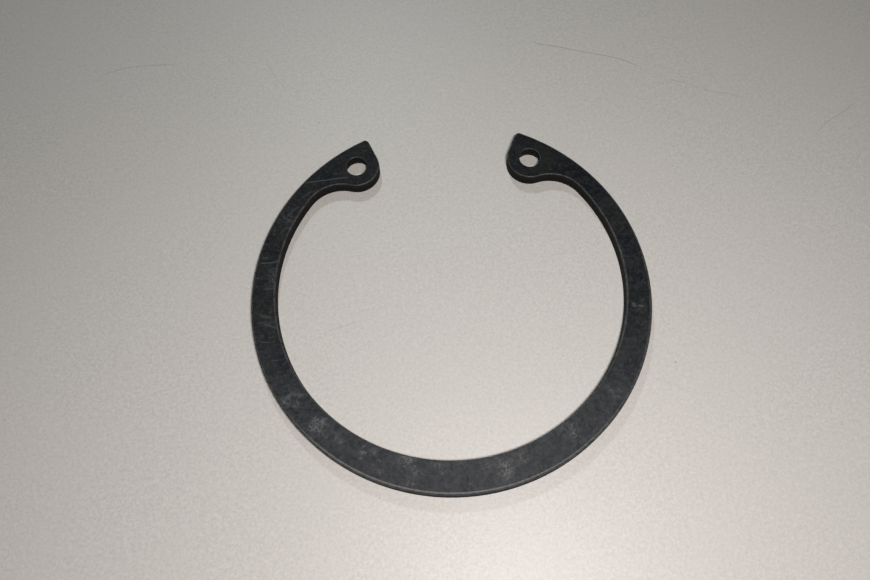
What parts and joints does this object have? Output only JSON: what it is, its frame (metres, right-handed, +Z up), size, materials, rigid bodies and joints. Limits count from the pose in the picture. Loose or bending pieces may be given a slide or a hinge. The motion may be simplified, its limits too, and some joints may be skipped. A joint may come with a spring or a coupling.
{
  "type": "internal retaining ring",
  "caption": "Flat open spring ring, widest opposite its gap, with inward lugs drilled for pliers; it snaps into a groove inside a bore.",
  "frame": {"origin": "centre of the outer circle, in the plane of the lower face", "axes": "+Z up, square to the flat faces and along the axis of the bore; +Y from the centre through the middle of the gap; +X through the right-hand side with the gap away from the viewer"},
  "size_m": [0.0454, 0.0432, 0.0017],
  "materials": {
    "phosphated_steel": "dark grey phosphate and oil on stamped spring steel, dull satin, with paler rubbed edges and small scuffs"
  },
  "bodies": {
    "root": {"retaining_ring": "phosphated_steel"}
  },
  "joints": []
}
